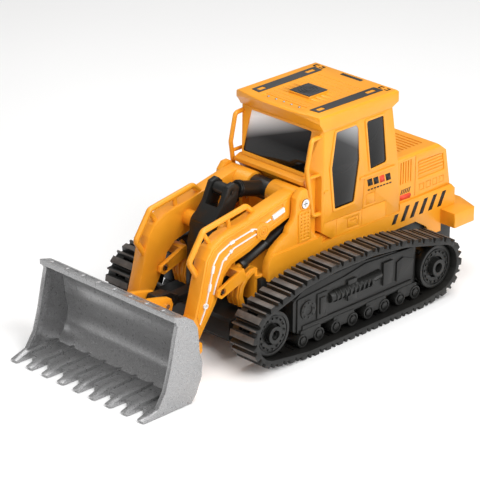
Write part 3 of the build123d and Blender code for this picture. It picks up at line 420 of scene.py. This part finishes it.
# screws on the ends of the front axle, each with a raised cross
x, z = IDLER_AXLE
for side, word in SIDES:
    solid = bmesh.new()
    disc(solid, (x, side * SCREW_Y, z), SCREW_RADIUS, (0, side, 0), 1.5, 32)
    for width, height in ((1.9, 0.5), (0.5, 1.9)):
        outline = [(x - width, z - height), (x + width, z - height), (x + width, z + height),
                   (x - width, z + height)]
        slab(solid, on_side(outline, side * CROSS_Y), (0, side * 0.25, 0))
    piece(f"hub_screw_{word}", solid, chrome, "chassis", 0.3)


# ---------------------------------------------------------------- outer faces of the track shoes, given a painted light colour; the valleys keep the black plastic
def hull_line(points):
    """Convex outline, anticlockwise, of points in a plane."""
    points = sorted(set(points))
    chains = []
    for sequence in (points, points[::-1]):
        chain = []
        for p in sequence:
            while len(chain) > 1:
                (ax, az), (bx, bz) = chain[-2], chain[-1]
                if (bx - ax) * (p[1] - az) - (bz - az) * (p[0] - ax) > 0:
                    break
                chain.pop()
            chain.append(p)
        chains.append(chain[:-1])
    return chains[0] + chains[1]


def depth_inside(point, loop):
    """How far a point lies inside a convex loop, in metres, up to 1."""
    nearest = 1.0
    for (ax, az), (bx, bz) in zip(loop, loop[1:] + loop[:1]):
        length = math.hypot(bx - ax, bz - az)
        if length > 0:
            gap = ((bx - ax) * (point[1] - az) - (bz - az) * (point[0] - ax)) / length
            nearest = min(nearest, gap)
    return nearest


PAINTED_LIGHT_DEPTH = 0.0005  # metres inside the belt's outline that still gets the painted light
for word in ("left", "right"):
    mesh = nodes["track_" + word].data
    loop = hull_line([(round(v.co.x, 5), round(v.co.z, 5)) for v in mesh.vertices])
    # outer envelope faces get the brown painted light, all other faces keep the black track plastic
    mesh.materials.append(shoe_top_painted_light)
    for face in mesh.polygons:
        if abs(face.normal.y) < 0.3 and depth_inside((face.center.x, face.center.z), loop) < PAINTED_LIGHT_DEPTH:
            face.material_index = 1

# ---------------------------------------------------------------- studio
world = bpy.data.worlds.new("studio")
bpy.context.scene.world = world
world.use_nodes = True
sky = world.node_tree
direction = sky.nodes.new("ShaderNodeTexCoord")
split = sky.nodes.new("ShaderNodeSeparateXYZ")
fade = sky.nodes.new("ShaderNodeMapRange")
tint = sky.nodes.new("ShaderNodeValToRGB")
sky.links.new(direction.outputs["Generated"], split.inputs["Vector"])
sky.links.new(split.outputs["Z"], fade.inputs["Value"])
sky.links.new(fade.outputs["Result"], tint.inputs["Fac"])
tint.color_ramp.elements[0].color = (0.34, 0.34, 0.35, 1.0)
tint.color_ramp.elements[1].color = (1.0, 0.99, 0.97, 1.0)
sky.links.new(tint.outputs["Color"], sky.nodes["Background"].inputs["Color"])
sky.nodes["Background"].inputs["Strength"].default_value = 0.52


def softbox(name, place, target, size, power):
    """A rectangular lamp aimed at a point, in metres and watts."""
    lamp = bpy.data.lights.new(name, "AREA")
    lamp.shape = "RECTANGLE"
    lamp.size, lamp.size_y = size
    lamp.energy = power
    obj = bpy.data.objects.new(name, lamp)
    obj.location = place
    obj.rotation_mode = "QUATERNION"
    obj.rotation_quaternion = (Vector(target) - Vector(place)).to_track_quat("-Z", "Y")
    bpy.context.scene.collection.objects.link(obj)
    obj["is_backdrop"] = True


softbox("key_light", (0.15, 0.85, 0.85), (0, 0, 0.05), (0.7, 0.7), 9.5)
softbox("side_light", (-0.2, 1.05, 0.35), (0, 0, 0.06), (0.8, 0.4), 3.2)
softbox("front_light", (1.0, 0.3, 0.45), (0.13, 0, 0.03), (0.5, 0.3), 2.2)
softbox("top_light", (-0.1, -0.1, 1.1), (0, 0, 0.05), (0.9, 0.9), 7.0)

FLOOR_REACH, FLOOR_UNDERSIDE, FLOOR_THICKNESS = 1.9, -0.004, 0.0038  # metres
solid = bmesh.new()
plate(solid, -FLOOR_REACH, FLOOR_REACH, -FLOOR_REACH, FLOOR_REACH, FLOOR_UNDERSIDE, FLOOR_THICKNESS)
mesh = bpy.data.meshes.new("floor")
solid.to_mesh(mesh)
solid.free()
floor = bpy.data.objects.new("floor", mesh)
bpy.context.scene.collection.objects.link(floor)
paper = Shader("paper_m", Specular_IOR_Level=0.1)
paper.colour(paper.ramp(paper.noise(3.0, 2.0), [(0.3, (0.90, 0.90, 0.90)), (0.7, (0.93, 0.93, 0.93))]))
paper.roughness(paper.span(paper.noise(40.0), 0.8, 0.95))
floor.data.materials.append(paper.material)
floor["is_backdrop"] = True

# ---------------------------------------------------------------- camera
CAMERA_AZIMUTH = math.radians(135.06)
CAMERA_HEIGHT = math.radians(23.575)
CAMERA_ROLL = math.radians(0.242)
CAMERA_ASIDE = (-29.05, 41.35)  # mm to the right and up
CAMERA_DISTANCE = 1796.4  # mm
level_part = math.cos(CAMERA_HEIGHT)
back = Vector((math.sin(CAMERA_AZIMUTH) * level_part, -math.cos(CAMERA_AZIMUTH) * level_part,
               math.sin(CAMERA_HEIGHT)))
level = Vector((0, 0, 1)).cross(back).normalized()
upright = back.cross(level)
right = math.cos(CAMERA_ROLL) * level + math.sin(CAMERA_ROLL) * upright
up = -math.sin(CAMERA_ROLL) * level + math.cos(CAMERA_ROLL) * upright
place = right * CAMERA_ASIDE[0] + up * CAMERA_ASIDE[1] + back * CAMERA_DISTANCE + Vector((OFFSET_X, 0, 0))
camera_data = bpy.data.cameras.new("camera")
camera_data.lens = 208.4
camera_data.sensor_width = 36.0
camera = bpy.data.objects.new("camera", camera_data)
camera.matrix_world = Matrix.Translation(place * MM) @ Matrix((right, up, back)).transposed().to_4x4()
bpy.context.scene.collection.objects.link(camera)
bpy.context.scene.camera = camera
bpy.context.scene.view_settings.view_transform = "Standard"

low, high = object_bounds()
